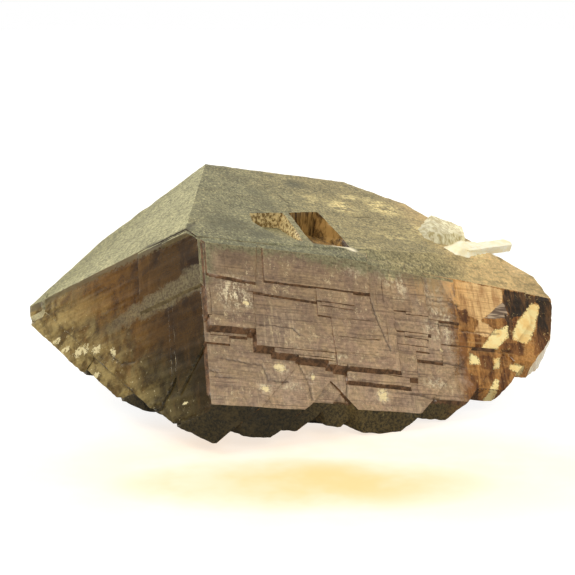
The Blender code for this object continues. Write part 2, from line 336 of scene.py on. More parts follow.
def named_faces(bm):
    """Marks in a layer which of FACES each triangle belongs to, counted from 1. A 0 is none of them."""
    layer = bm.faces.layers.int.new("family")
    names = list(FACES)
    for face in bm.faces:
        normal = POSE.transposed() @ face.normal
        best = max(names, key=lambda name: FACES[name].dot(normal))
        if FACES[best].dot(normal) > SAME_PLANE:
            face[layer] = 1 + names.index(best)
    return layer


def split_edges(bm, wanted):
    bmesh.ops.subdivide_edges(bm, edges=wanted, cuts=1)
    bmesh.ops.triangulate(bm, faces=[f for f in bm.faces if len(f.verts) > 3])


def refined(bm, layer):
    """Splits every edge longer than its limit, in rounds, and then those beside the cracks."""
    limits = [ODD] + [FINE.get(name, COARSE) for name in FACES]
    for _ in range(SPLIT_ROUNDS):
        wanted = []
        for edge in bm.edges:
            if edge.calc_length() > MM * min(limits[face[layer]] for face in edge.link_faces):
                wanted.append(edge)
        if not wanted:
            break
        split_edges(bm, wanted)
    for _ in range(CRACK_ROUNDS):
        near = crack_distance(to_crystal([v.co for v in bm.verts])) < CRACK_BELT
        bm.verts.index_update()
        wanted = [
            edge for edge in bm.edges
            if all(near[v.index] for v in edge.verts) and edge.calc_length() > MM * NEAR_CRACKS
        ]
        if wanted:
            split_edges(bm, wanted)


def distance_to(points, start, end):
    """From each point to the stretch between two others."""
    start, end = np.array(start, float), np.array(end, float)
    share = np.clip((points - start) @ (end - start) / ((end - start) @ (end - start)), 0, 1)
    return np.linalg.norm(points - start - share[:, None] * (end - start), axis=1)


def distance_to_line(points, line):
    """From each point to a line of several stretches."""
    return np.min([distance_to(points, start, end) for start, end in zip(line, line[1:])], axis=0)


def wavered(places):
    """The points moved a little, so that a straight line through them turns out crooked."""
    x, y, z = places.T
    slow = 0.09 * np.sin(1.9 * x + 1.3 * z + y)
    quick = 0.05 * np.sin(5.9 * x - 4.7 * z + 3.1 * y)
    return places + (slow + quick)[:, None] * np.array((0.6, 0.0, 0.8))


def crack_distance(places):
    """From each point to the nearest crack, as a share of that crack's reach."""
    places = wavered(places)
    on_front = np.where(places[:, 1] < FRONT_CRACKS_Y, 1.0, FAR)
    front = [distance_to_line(places[:, [0, 2]], line) / CRACK_REACH * on_front for line in CRACKS]
    crown = [distance_to_line(places, line) / reach for reach, line in CROWN_CRACKS]
    return np.min(front + crown, axis=0)


def inward(flat, outline):
    """How far inside an outline each point lies, in mm: below 0 outside it."""
    inside = np.zeros(len(flat), bool)
    across, up = flat.T
    for (x0, z0), (x1, z1) in zip(outline, outline[1:] + outline[:1]):
        if z0 != z1:
            inside ^= ((z0 > up) != (z1 > up)) & (across < x0 + (up - z0) / (z1 - z0) * (x1 - x0))
    nearest = distance_to_line(flat, outline + outline[:1])
    return np.where(inside, nearest, -nearest)


def surface():
    """The crystal's solid as a fine mesh, with its creases marked."""
    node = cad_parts["smoky_quartz"]
    bm = bmesh.new()
    bm.from_mesh(node.data)
    bm.transform(node.matrix_world)
    bmesh.ops.remove_doubles(bm, verts=bm.verts, dist=1e-6)
    bmesh.ops.dissolve_limit(bm, angle_limit=math.radians(0.2), verts=bm.verts, edges=bm.edges)
    bmesh.ops.triangulate(bm, faces=bm.faces)
    bmesh.ops.recalc_face_normals(bm, faces=bm.faces)
    layer = named_faces(bm)
    for edge in bm.edges:
        edge.smooth = edge.calc_face_angle(0.0) < SHARP
    refined(bm, layer)
    mesh = bpy.data.meshes.new("crystal")
    bm.to_mesh(mesh)
    bm.free()
    return smooth_object("crystal", mesh)


def smooth_object(name, mesh):
    """An object that holds the mesh, shaded smooth but for its marked creases."""
    for polygon in mesh.polygons:
        polygon.use_smooth = True
    return linked(name, mesh)


def triangles(mesh):
    """The triangles' corner numbers, the points' crystal coordinates and the triangles' families."""
    corners = np.empty(len(mesh.polygons) * 3, np.int32)
    mesh.polygons.foreach_get("vertices", corners)
    places = np.empty(len(mesh.vertices) * 3)
    mesh.vertices.foreach_get("co", places)
    family = np.empty(len(mesh.polygons), np.int32)
    mesh.attributes["family"].data.foreach_get("value", family)
    return corners.reshape(-1, 3), to_crystal(places.reshape(-1, 3)), family


def family_of(name):
    """The number that the triangles of a named face carry."""
    return 1 + list(FACES).index(name)


def mark(mesh, name, values, domain):
    mesh.attributes.new(name, "FLOAT", domain).data.foreach_set("value", np.asarray(values, np.float32))


def within(places, box):
    return ((places > box[0]) & (places < box[1])).all(axis=1)


def mark_groups(obj):
    """Face attributes that tell the material which of the crystal's faces it is on."""
    corners, places, family = triangles(obj.data)
    centre = places[corners].mean(axis=1)
    groups = {name: np.isin(family, [family_of(f) for f in members]) for name, members in GROUPS.items()}
    below = SLOPE - centre @ np.array(FACES["front top"])
    pale = (below < -0.05) & within(centre, KNOB_BOX) | (distance_to(centre, *SPIKE) < SPIKE_REACH)
    pit = (below > PIT_LIP) & (below < PIT_DEPTH) & within(centre, PIT_BOX) & ~groups["crown"]
    ledge = within(centre, PLATES_BOX) & ~groups["front"] & ~groups["crown"] & ~pale
    # The edges of the plates on the left face.
    by_left = (centre @ np.array(FACES["front_left"]) > 17.0) & (centre[:, 0] < -6) & ~ledge
    step = by_left & ((family == 0) | (groups["under"] & (centre[:, 2] > -13)))
    groups["under"] &= ~step
    groups["left"] |= step
    groups["step"] = step
    for group in groups.values():
        group &= ~pale & ~ledge & ~pit
    for name, values in {**groups, "pale": pale, "pit": pit, "ledge": ledge}.items():
        mark(obj.data, name, values, "FACE")


def mark_points(obj):
    """Point attributes: how far inside the painted outlines a point is, and how near the slash."""
    _, places, _ = triangles(obj.data)
    seen = places[:, 1] < PAINTED_Y
    flat = wavered(places)[:, [0, 2]]
    for name, outlines in PAINTED.items():
        inside = np.max([inward(flat, outline) for outline in outlines], axis=0)
        mark(obj.data, name, np.clip(0.5 + 0.5 * inside, 0, 1) * seen, "POINT")
    mark(obj.data, "slash", np.clip(1.6 - distance_to_line(places, SLASH) / 0.5, 0, 1), "POINT")


def growth_level(p):
    """How high a point lies, counted along the tilted growth lines."""
    return p.z + GROWTH_TILT * p.x


def terraces(p):
    """Growth terraces: each stands out most at its lower edge, and comes and goes along it."""
    level = growth_level(p)
    rows = level / 1.15 + 0.9 * noise.noise(Vector((p.x * 0.05, p.y * 0.05, level * 0.35)))
    row = math.floor(rows)
    strength = 0.30 + noise.noise(Vector((p.x * 0.09, p.y * 0.09, row * 3.7)))
    return 0.10 * max(0.0, strength) * (1.0 - rows + row) ** 3


def relief(name, p):
    """How far a point of the named face stands out, in mm."""
    if "top" in name or name == "bevel":
        return 0.08 * noise.noise(p * 0.25) + 0.07 * noise.noise(p * 0.8) + 0.035 * noise.noise(p * 1.7)
    if "bottom" in name:
        return 0.16 * noise.noise(p * 0.4) + 0.10 * noise.noise(p * 1.2)
    lines = Vector((p.x * 0.04, p.y * 0.04, growth_level(p) * 0.8))
    waves = 0.05 * noise.noise(lines) + 0.025 * noise.noise(lines * 2.3) + 0.03 * noise.noise(p * 1.3)
    return waves + terraces(p)


def worn(p, rugged):
    """How far a crease is worn back, in mm."""
    chip = max(0.0, noise.noise(p * 0.55) - 0.12)
    block = Vector((round(p.x * 0.7), round(p.y * 0.7), round(p.z * 0.7)))
    bite = max(0.0, noise.noise(block * 0.37))
    return 0.02 + 0.22 * chip + rugged * (0.25 + 1.3 * bite + 0.5 * chip)


def rugged_points(corners, places, family):
    """The points of the crystal's lower left edge, which is chipped most."""
    below = corners[family == family_of("front_left bottom")]
    above = corners[family == family_of("front_left")]
    shared = np.intersect1d(below, above)
    _, y, z = places[shared].T
    return set(shared[(y > -15) & (z < -0.45 * (15 - y))])


def roughened(obj):
    """Moves the points along the normals of their faces, wears the creases back and opens the cracks."""
    mesh = obj.data
    corners, places, family = triangles(mesh)
    points = [Vector(p) for p in places]
    move = np.zeros((len(points), 3))
    crack = np.clip(1.4 - 1.4 * crack_distance(places), 0, 1)
    for name, normal in FACES.items():
        for i in np.unique(corners[family == family_of(name)]):
            move[i] += np.array(normal) * (relief(name, points[i]) - CRACK_DEPTH * crack[i])
    normals = np.empty(len(points) * 3)
    mesh.vertices.foreach_get("normal", normals)
    normals = normals.reshape(-1, 3) @ np.array(POSE)
    rugged = rugged_points(corners, places, family)
    crease = np.zeros(len(points))
    for edge in mesh.edges:
        if edge.use_edge_sharp:
            for i in edge.vertices:
                crease[i] = 1.0
    for i in np.nonzero(crease)[0]:
        move[i] -= normals[i] * worn(points[i], 1.0 if i in rugged else 0.0)
    moved = to_row(places + move)
    moved[:, 2] = np.maximum(moved[:, 2], 0.0)
    mesh.vertices.foreach_set("co", moved.ravel())
    mark(mesh, "crease", crease, "POINT")
    mark(mesh, "crack", crack, "POINT")
    mesh.update()


# Chips of cloudy white quartz that lead from the knob and from the slim crystal down to the upper face: their
# outlines on that face, how high they stand, how far their tops narrow and how strongly they wave.
UP = FACES["front top"]
SUNK = 0.5  # how deep a chip reaches into the crystal
CHIP_EDGE = 0.5  # the longest edge of its mesh
CHIPS = {
    "knob_skirt": dict(
        outline=((36.0, -7.9, 14.4), (39.7, -4.7, 18.4), (44.6, -8.6, 13.4), (45.0, -11.0, 10.4),
                 (41.3, -12.6, 8.4), (37.4, -12.3, 8.8), (35.2, -10.5, 11.1)),
        height=1.5,
        narrowed=0.6,
        wave=0.15,
    ),
    "spike_wedge": dict(
        outline=((36.7, -13.3, 7.6), (42.0, -11.2, 10.2), (50.5, -9.8, 12.1), (48.8, -12.2, 8.9),
                 (41.6, -16.0, 4.1), (38.8, -15.6, 4.6)),
        height=0.9,
        narrowed=0.6,
        wave=0.25,
    ),
}


def chip(name, outline, height, narrowed, wave):
    """A low irregular chip on the upper front face, whose rim stands high and low in turn."""
    low = [Vector(p) - UP * SUNK for p in outline]
    middle = sum(low, Vector()) / len(low)
    high = []
    for k, p in enumerate(low):
        share = 0.7 + 0.3 * (k % 2)
        high.append(middle + (p - middle) * narrowed + UP * (height + SUNK) * share)
    bm = bmesh.new()
    for p in low + high:
        bm.verts.new(p)
    hull = bmesh.ops.convex_hull(bm, input=bm.verts)
    inner = {v for v in hull["geom_interior"] + hull["geom_unused"] if isinstance(v, bmesh.types.BMVert)}
    bmesh.ops.delete(bm, geom=list(inner), context="VERTS")
    bmesh.ops.triangulate(bm, faces=bm.faces)
    for _ in range(6):
        long = [e for e in bm.edges if e.calc_length() > CHIP_EDGE]
        if long:
            split_edges(bm, long)
    for v in bm.verts:
        v.co += UP * wave * (noise.noise(v.co * 0.5) + 0.5 * noise.noise(v.co * 1.3))
        v.co += Vector((1, 0.3, 0)) * 0.2 * noise.noise(v.co * 1.1 + Vector((7, 7, 7)))
    bmesh.ops.recalc_face_normals(bm, faces=bm.faces)
    mesh = bpy.data.meshes.new(name)
    bm.to_mesh(mesh)
    bm.free()
    places = np.empty(len(mesh.vertices) * 3)
    mesh.vertices.foreach_get("co", places)
    mesh.vertices.foreach_set("co", to_row(places.reshape(-1, 3)).ravel())
    mesh.update()
    mark(mesh, "pale", np.ones(len(mesh.polygons)), "FACE")
    return smooth_object(name, mesh)


# --- The crystal's material --------------------------------------------------

# A spot is its centre, its half width and half height, and its strength where it has one. It lies along the
# length and up the c axis or, on the left face, from front to back and up that axis.

# Creamy veils and healed cracks under the front face; some of the brightest are painted glints.
VEILS = (
    (-6.8, -9.4, 3.0, 3.6, 1.0),
    (-4.6, -10.8, 1.3, 1.2, 1.0),
    (22.6, -2.7, 2.6, 2.6, 1.0),
    (16.0, -2.5, 3.0, 2.2, 0.5),
    (0.8, -21.8, 1.5, 1.1, 1.0),
    (-2.2, -25.6, 1.5, 1.0, 1.0),
    (18.8, -25.2, 1.5, 1.9, 1.0),
    (6.3, -23.0, 0.9, 1.3, 0.8),
    (2.4, -24.9, 2.4, 0.8, 0.6),
    (11.2, -19.6, 1.8, 0.7, 0.8),
    (31.0, -5.0, 3.0, 4.0, 0.6),
    (30.0, -12.5, 2.6, 2.4, 0.7),
    (29.0, -22.5, 3.0, 1.2, 0.7),
    (33.0, -12.0, 1.2, 6.0, 0.9),
    (31.5, -9.0, 2.0, 1.2, 0.9),
    (24.5, -4.0, 1.6, 4.0, 0.8),
)
# Painted glints: bright flake-like specks that gleam under the front face.
FRONT_GLINTS = (
    (0.5, -21.8, 1.5, 1.1),
    (-2.2, -25.6, 1.2, 0.8),
    (18.8, -25.3, 1.3, 1.9),
    (-4.7, -10.9, 0.9, 0.7),
    (22.8, -3.0, 1.6, 1.5),
    (31.2, -16.2, 0.6, 0.6),
    (6.4, -22.9, 0.5, 0.9),
)
DIM = (-6.0, -2.0, 6.0, 4.0)  # a darker place beside the front face's upper left corner
# Warm light patches seen through the upper faces.
PATCHES = (
    (23.5, 20.5, 3.4, 3.4, 1.0),
    (33.0, 22.5, 4.2, 4.4, 1.0),
    (27.5, 25.5, 3.0, 2.0, 0.7),
    (36.0, 14.0, 3.4, 2.6, 0.9),
    (43.0, 6.0, 3.5, 3.0, 0.7),
    (30.0, 10.0, 6.0, 2.4, 0.5),
    (18.0, 22.0, 2.6, 3.0, 0.45),
)
# Painted shade: places of the upper faces painted darker.
CROWN_SHADOWS = (
    (17.6, 28.6, 3.4, 2.4),
    (-4.5, 7.5, 5.0, 4.0),
    (1.0, 5.0, 4.5, 2.2),
    (6.5, 19.0, 2.4, 8.0, 0.6),
    (28.0, 8.0, 7.0, 5.0, 0.35),
)
# Glints on the left face, most of them near its rim.
GLINTS = (
    (11.4, -5.6, 1.5, 1.0),
    (6.0, -9.8, 3.0, 1.6),
    (2.8, -11.0, 2.0, 1.2),
    (-0.6, -13.0, 1.0, 1.8),
    (3.6, -15.6, 1.6, 1.0),
    (-13.4, -27.0, 0.9, 0.4),
    (9.5, -8.2, 1.6, 1.0),
)
GROOVE_SHADE = (-12.6, 3.4, 4.2, 1.0)  # painted shade of the groove along the top of the left face
# Below the front face, in shade and in the light.
NOTCH, TOOTH = (-1.0, -28.0, 8.0, 9.0), (13.0, -28.0, 7.0, 9.0)
SEAM = 9.2  # along the length, where a rib of stone parts the pit in two
RAG = 0.7  # how far the noise moves a painted outline, as a share of the distance that its attribute covers
PLATES_BACK = 0.69  # how much of a plate's height is taken off again when the bevel's edge is measured
# The direction from the slim crystal to the knob, and where along it the one turns into the other.
KNOB_WAY, KNOB_END, SPIKE_START = (-0.51, 0.5, 0.866), -18.5, -20.5

QUARTZ_IOR = 1.544
SMOKE, SMOKE_DENSITY = (0.81, 0.58, 0.20, 1.0), 45.0  # of the absorbing volume, the density in 1/m
BUMP_HEIGHT = 0.0002  # in metres


class Look:
    """What the parts of the material share: the place, the textures and the masks."""

    def __init__(self, g):
        self.g = g
        self.at = g.crystal_coordinates()
        self.x, self.y, self.z = g.split(self.at)
        self.level = g.total(self.z, g.product(self.x, GROWTH_TILT))
        self.lines = self.level_noise(0.05, 1.6, 5.0, 0.65)
        self.fine_lines = self.level_noise(0.12, 5.0, 3.0, 0.6)
        self.cloud = g.noise(self.at, 0.06, 4.0, 0.6)
        self.mottle = g.noise(self.at, 0.33, 5.0, 0.65, 0.4)
        self.speck = g.noise(self.at, 1.6, 3.0, 0.7)
        self.grain = g.noise(self.at, 2.6, 3.0, 0.75)
        self.facets = g.noise(self.at, 1.1, 5.0, 0.8)
        self.columns = g.noise(g.stretch(self.at, 0.75, 0.75, 0.15), 1.0, 5.0, 0.72)
        self.region = g.noise(self.at, 0.18, 3.0)
        ragged = g.total(g.product(self.cloud, 6.0), g.product(self.mottle, 5.0), g.product(self.facets, 5.0))
        self.clear = g.ramp(g.total(self.x, ragged), 40.3, 44.3)  # the golden end
        for name in (*GROUPS, "step", "ledge", "pit", "pale", "crease", "crack", "slash"):
            setattr(self, name, g.attribute(name))
        rag = g.product(g.total(self.facets, -0.5), RAG)
        for name in PAINTED:
            setattr(self, name, g.ramp(g.total(g.attribute(name), rag), 0.40, 0.48))
        self.in_gold = g.attribute("gold")
        self.satin = g.product(self.front, g.inverse(self.clear))
        self.right = g.ramp(self.x, 30.0, 40.0)
        self.dark_under = g.product(self.under, g.inverse(self.right))

    def level_noise(self, along, up, detail, rough):
        """Noise drawn out level along the prism faces."""
        g = self.g
        place = g.join(g.product(self.x, along), g.product(self.y, along), g.product(self.level, up))
        return g.noise(place, 1.0, detail, rough)

    def bent(self, scale, warp, amount):
        """The place stretched by a scale, and bent by a slow noise."""
        g = self.g
        return g.shift(g.stretch(self.at, *scale), g.tint(g.noise(self.at, warp, 2.0, color=True), amount))

    def gleams(self, u, v, spots, low, high):
        """Small ragged painted glints at the spots."""
        g = self.g
        near = g.total(g.spots(u, v, spots), g.product(self.facets, 2.0), g.product(self.speck, 2.2))
        return g.ramp(near, low, high)


def front_color(g, look):
    """Purple-brown, satin, in blocks of level growth, with creamy veils and dark cracks, with painted glints
    and painted light. Also the veils and the glints.
    """
    x, z, at = look.x, look.z, look.at
    bent = look.bent((0.16, 0.0, 0.42), 0.15, 0.6)
    nearest, block_color = g.blocks(bent, "F1")
    second, _ = g.blocks(bent, "F2")
    block = g.split(block_color)[0]
    seams = g.product(g.ramp(g.less(second, nearest), 0.035, 0.0), g.ramp(look.region, 0.5, 0.6))
    texture = g.total(
        0.39,
        g.ramp(look.lines, 0.34, 0.66, 0.0, 0.22),
        g.ramp(look.fine_lines, 0.34, 0.66, 0.0, 0.26),
        g.product(block, 0.12),
        g.ramp(look.mottle, 0.32, 0.68, 0.0, 0.20),
        g.ramp(look.speck, 0.36, 0.64, 0.0, 0.46),
    )
    # Painted light: the front face grows brighter towards its lower right.
    painted_light_to_lower_right = g.ramp(g.less(g.product(x, 0.5), z), 2.0, 34.0, 0.86, 1.42)
    color = g.grade(look.mottle, 0.38, 0.62, rgb(145, 119, 99), rgb(155, 130, 102))
    color = g.paint(color, rgb(152, 130, 114), g.ramp(look.cloud, 0.50, 0.60), 0.5)
    color = g.tint(color, g.product(painted_light_to_lower_right, texture))
    streaks = g.ramp(g.noise(g.stretch(at, 1.3, 0.4, 0.13), 1.0, 4.0, 0.75), 0.52, 0.66)
    streaks = g.product(streaks, g.ramp(look.cloud, 0.44, 0.58))
    color = g.paint(color, rgb(226, 200, 160), streaks, 0.5)
    flecks = g.noise(g.stretch(at, 1.3, 0.3, 0.9), 1.3, 5.0, 0.8)
    veils = g.product(g.spots(x, z, VEILS), g.ramp(flecks, 0.46, 0.58))
    loose = g.product(g.ramp(flecks, 0.55, 0.64), g.ramp(look.region, 0.62, 0.44))
    color = g.paint(color, rgb(232, 212, 172), loose, 0.75)
    # Creamy veils, some of them painted glints.
    color = g.paint(color, rgb(250, 236, 204), veils, 0.92)
    # Painted glints under the front face.
    painted_glints = look.gleams(x, z, FRONT_GLINTS, 2.72, 2.98)
    color = g.paint(color, rgb(248, 228, 176), painted_glints, 0.85)
    color = g.paint(color, rgb(92, 74, 52), g.spot(x, z, DIM), 0.35)
    # Painted warm light on the upper right of the front face.
    glow = g.product(g.ramp(x, 19.0, 31.0), g.ramp(z, -12.0, -3.0), g.ramp(look.columns, 0.38, 0.6))
    color = g.paint(color, rgb(212, 170, 116), glow, 0.75)
    color = g.paint(color, rgb(84, 62, 44), g.ramp(look.grain, 0.38, 0.28), 0.5)
    thin = g.ramp(g.noise(g.stretch(at, 0.09, 0.09, 4.2), 1.0, 3.0, 0.6), 0.57, 0.63)
    thin = g.product(thin, g.ramp(look.region, 0.36, 0.54))
    color = g.paint(color, rgb(82, 58, 40), thin, 0.6)
    color = g.paint(color, rgb(84, 60, 42), seams, 0.45)
    broken = g.ramp(look.mottle, 0.36, 0.56, 0.2, 0.8)
    color = g.paint(color, rgb(66, 46, 30), look.crack, broken)
    return color, g.highest(veils, painted_glints)


def dust_on_front(g, look):
    """Where dust comes over from the upper faces: along the front face's top edge and at its left corner."""
    past_slope = g.total(g.along(look.at, FACES["front top"]), -SLOPE)
    past_bevel = g.total(g.along(look.at, FACES["bevel"]), -BEVEL)
    past_bevel = g.total(past_bevel, g.product(look.y, PLATES_BACK), PLATES_BACK * FRONT)
    fringe = g.product(g.total(look.mottle, look.speck, -1.0), 2.2)
    near_edge = g.ramp(g.total(g.highest(past_slope, past_bevel), fringe), -1.3, -0.3)
    rim = g.product(look.front, near_edge, g.ramp(look.x, 36.0, 26.0))
    near_corner = g.ramp(g.total(look.x, g.product(look.mottle, -3.0)), -11.0, -13.0)
    corner = g.product(look.front, near_corner, g.ramp(look.z, -9.5, -7.0))
    return g.highest(rim, corner)


def end_color(g, look):
    """The clear right end: orange-brown, in columns and bands, with painted light and shade seen in it as
    bright and dark shapes, and painted glints.
    """
    x, at, columns = look.x, look.at, look.columns
    color = g.grade(columns, 0.36, 0.62, rgb(122, 72, 30), rgb(228, 166, 94))
    color = g.mix(g.ramp(look.lines, 0.50, 0.66, 0.0, 0.5), color, rgb(224, 178, 116))
    color = g.tint(color, g.total(0.72, g.ramp(look.grain, 0.3, 0.7, 0.0, 0.5)))

    tan = g.grade(columns, 0.34, 0.60, rgb(190, 146, 98), rgb(244, 206, 148))
    tan = g.paint(tan, rgb(166, 118, 72), g.ramp(look.fine_lines, 0.50, 0.60), 0.5)
    color = g.paint(color, tan, look.tan, g.ramp(x, 34.0, 41.0, 0.2, 0.95))

    stripes = g.noise(g.stretch(at, 0.2, 0.2, 2.4), 1.0, 2.0)
    color = g.mix(look.grey, color, g.grade(stripes, 0.44, 0.56, rgb(104, 86, 74), rgb(186, 164, 140)))

    # Painted glints in the dark shapes.
    glint = g.product(g.ramp(look.facets, 0.60, 0.67), 0.85)
    # Painted shade: the dark shapes, browner lower down and to the left.
    dark = g.grade(columns, 0.42, 0.64, rgb(38, 26, 15), rgb(98, 66, 36))
    browner = g.product(g.highest(g.ramp(look.z, -9.0, -13.0), g.ramp(x, 42.0, 40.0)), 0.85)
    dark = g.mix(browner, dark, g.grade(columns, 0.38, 0.6, rgb(84, 48, 22), rgb(146, 96, 50)))
    color = g.mix(look.dark, color, g.mix(glint, dark, rgb(216, 184, 122)))

    # Painted light: the golden windows, specked darker at their rims.
    gold = g.grade(look.mottle, 0.38, 0.60, rgb(248, 210, 138), rgb(255, 236, 174))
    border = g.ramp(look.in_gold, 0.85, 0.45, 0.26, 0.50)
    gold = g.paint(gold, rgb(104, 74, 38), g.ramp(g.less(look.grain, border), 0.02, -0.06), 0.8)
    color = g.mix(look.gold, color, gold)

    outer = g.grade(look.lines, 0.4, 0.6, rgb(236, 204, 156), rgb(255, 240, 204))
    color = g.mix(look.outer, color, outer)
    return g.paint(color, rgb(92, 62, 40), look.crack, 0.6)


def crown_color(g, look):
    """Grey-green chlorite dust, thinner towards the right, where the warm inside shows in patches."""
    x, y, z, at = look.x, look.y, look.z, look.at
    right_face = g.inverse(look.crown_left)
    ragged = g.noise(g.stretch(at, 0.7, 1.0, 1.0), 0.7, 5.0, 0.75)
    patches = g.product(g.spots(x, z, PATCHES), g.ramp(ragged, 0.44, 0.56), right_face)
    coarse = g.noise(g.stretch(at, 2.4, 1.5, 1.5), 1.0, 4.0, 0.8)
    smooth = g.product(g.ramp(x, 33.0, 42.0), 0.7)
    tone = g.total(
        0.22,
        g.blend(smooth, g.ramp(coarse, 0.40, 0.60, 0.0, 0.62), 0.31),
        g.ramp(look.speck, 0.36, 0.64, 0.0, 0.34),
        g.ramp(look.mottle, 0.34, 0.66, 0.0, 0.26),
        g.ramp(look.cloud, 0.36, 0.64, 0.0, 0.18),
    )
    to_right = g.total(x, g.product(look.mottle, 20.0))
    color = g.grade(to_right, 10.0, 36.0, rgb(128, 124, 92), rgb(152, 138, 96))
    color = g.paint(color, rgb(226, 192, 134), g.ramp(x, 33.0, 44.0), 0.85)
    left_face = g.grade(y, 4.0, 16.0, rgb(166, 162, 124), rgb(146, 142, 102))
    color = g.mix(look.crown_left, color, left_face)
    folds = g.ramp(g.noise(g.stretch(at, 0.16, 0.5, 0.5), 1.0, 4.0, 0.65), 0.50, 0.60)
    color = g.paint(color, rgb(112, 102, 66), folds, right_face, 0.45)
    strip = g.product(look.bevel, g.ramp(x, 32.0, 14.0, 0.1, 1.0))
    color = g.paint(color, rgb(112, 111, 84), strip, 0.7)
    low = g.ramp(g.total(z, g.product(look.mottle, 5.0)), 9.0, 3.0)
    low = g.product(low, right_face, g.ramp(x, 27.0, 13.0))
    color = g.paint(color, rgb(106, 106, 80), low, 0.75)
    color = g.tint(color, tone)
    even = g.highest(g.product(look.crown_left, 0.5), smooth)
    color = g.paint(color, rgb(74, 70, 42), g.ramp(coarse, 0.45, 0.38), g.inverse(even), 0.6)
    color = g.paint(color, rgb(220, 210, 164), g.ramp(coarse, 0.57, 0.66), 0.55)
    # Painted shade at the listed places of the upper right face.
    color = g.paint(color, rgb(64, 63, 42), g.spots(x, z, CROWN_SHADOWS), right_face, 0.6)
    level = g.product(g.ramp(look.lines, 0.5, 0.58), g.ramp(y, 4.0, 12.0), look.crown_left)
    color = g.paint(color, rgb(110, 106, 74), level, 0.4)
    warm = g.grade(look.speck, 0.36, 0.56, rgb(168, 140, 84), rgb(244, 226, 164))
    color = g.mix(patches, color, warm)
    return g.paint(color, rgb(58, 50, 30), look.crack, 0.75)


def left_color(g, look):
    """Clear brown, clouded, lighter to the left rim, with a soft band of dust and painted glints. Also where
    it is dusty or glints.
    """
    y, z, at = look.y, look.z, look.at
    clouds = g.noise(at, 0.16, 5.0, 0.65, 0.6)
    rim = g.ramp(g.total(y, g.product(z, -0.75), g.product(look.mottle, 8.0)), 3.0, 21.0)
    color = g.grade(clouds, 0.36, 0.62, rgb(70, 41, 10), rgb(124, 87, 36))
    deep = g.product(g.ramp(g.total(z, g.product(look.mottle, 8.0)), -11.0, -17.0), g.ramp(y, 0.0, -8.0))
    color = g.paint(color, rgb(74, 62, 30), deep, 0.7)
    olive = g.grade(look.mottle, 0.36, 0.60, rgb(100, 84, 46), rgb(190, 170, 114))
    color = g.paint(color, olive, rim, 0.8)
    color = g.mix(g.ramp(look.columns, 0.52, 0.68, 0.0, 0.4), color, rgb(150, 110, 60))
    color = g.tint(color, g.ramp(y, -14.0, 3.0, 0.34, 1.20))
    texture = g.total(0.70, g.ramp(look.lines, 0.3, 0.7, 0.0, 0.28), g.ramp(look.grain, 0.3, 0.7, 0.0, 0.32))
    color = g.tint(color, texture)

    waves = g.product(g.total(look.mottle, -0.5), 5.0)
    off_band = g.total(z, 6.6, g.product(g.total(y, 19.0), 0.08), waves)
    half_width = g.ramp(y, -18.0, 4.0, 1.9, 0.9)
    band = g.ramp(g.less(g.math("ABSOLUTE", off_band), half_width), 0.8, -0.5)
    band = g.product(band, g.ramp(y, 5.0, -5.0), look.left)
    dust = g.grade(look.grain, 0.38, 0.60, rgb(78, 62, 36), rgb(134, 122, 84))
    color = g.paint(color, dust, band, 0.7)

    up_slope = g.total(g.along(at, FACES["front_left top"]), g.product(look.speck, 1.4))
    edge = g.product(g.ramp(up_slope, 17.4, 18.0), look.left)
    color = g.paint(color, rgb(116, 106, 76), edge, 0.7)
    # Painted glints near the rim and at the listed spots.
    sparks = g.product(g.ramp(look.facets, 0.62, 0.68), rim)
    sparks = g.product(g.highest(sparks, look.gleams(y, z, GLINTS, 2.84, 3.10)), look.left)
    color = g.paint(color, rgb(246, 232, 184), sparks, 0.85)
    step = g.grade(y, 8.0, 14.0, rgb(118, 102, 68), rgb(232, 222, 180))
    step = g.tint(step, g.ramp(look.grain, 0.3, 0.7, 0.7, 1.2))
    color = g.paint(color, step, look.step, 0.85)
    # Painted shade in the groove along the top of the left face.
    color = g.paint(color, rgb(50, 36, 18), g.spot(y, z, GROOVE_SHADE), look.left, 0.9)
    color = g.paint(color, rgb(46, 32, 20), look.crack, 0.7)
    return color, g.highest(look.step, band, g.product(edge, 0.7), sparks)


def under_color(g, look):
    """Dark olive, for the teeth below the front and left faces."""
    color = g.grade(look.grain, 0.36, 0.62, rgb(38, 32, 16), rgb(98, 82, 46))
    color = g.mix(g.ramp(look.mottle, 0.56, 0.66, 0.0, 0.5), color, rgb(124, 104, 62))
    shades = g.total(
        g.ramp(look.x, -10.0, 28.0, 0.60, 1.15),
        g.product(g.spot(look.x, look.z, NOTCH), -0.25),
        g.product(g.spot(look.x, look.z, TOOTH), 0.35),
    )
    return g.tint(color, shades)


def behind_color(g, look):
    """Plain brown with growth lines, for the faces at the back."""
    color = g.grade(look.cloud, 0.4, 0.6, rgb(118, 88, 60), rgb(150, 128, 88))
    return g.tint(color, g.total(0.6, g.ramp(look.lines, 0.3, 0.7, 0.0, 0.6)))


def pit_color(g, look):
    """Speckled gold left of the rib, striped brown right of it."""
    gold = g.grade(look.speck, 0.40, 0.60, rgb(128, 104, 66), rgb(236, 214, 160))
    stripes = g.noise(look.bent((1.1, 0.25, 0.12), 0.2, 1.4), 1.0, 4.0, 0.7)
    brown = g.grade(stripes, 0.38, 0.62, rgb(66, 46, 22), rgb(176, 140, 84))
    return g.grade(look.x, SEAM - 0.5, SEAM + 0.5, gold, brown)


def pale_color(g, look):
    """The cloudy white quartz of the knob and the slim crystal, with green-gold streaks down the knob."""
    streaks = g.noise(g.stretch(look.at, 1.5, 0.5, 0.5), 1.0, 5.0, 0.75)
    knob = g.grade(streaks, 0.38, 0.62, rgb(186, 168, 112), rgb(252, 246, 212))
    knob = g.tint(knob, g.ramp(look.x, 35.0, 46.0, 0.64, 1.14))
    spike = g.grade(look.mottle, 0.36, 0.62, rgb(252, 238, 196), rgb(255, 253, 236))
    return g.grade(g.along(look.at, KNOB_WAY), KNOB_END, SPIKE_START, knob, spike)


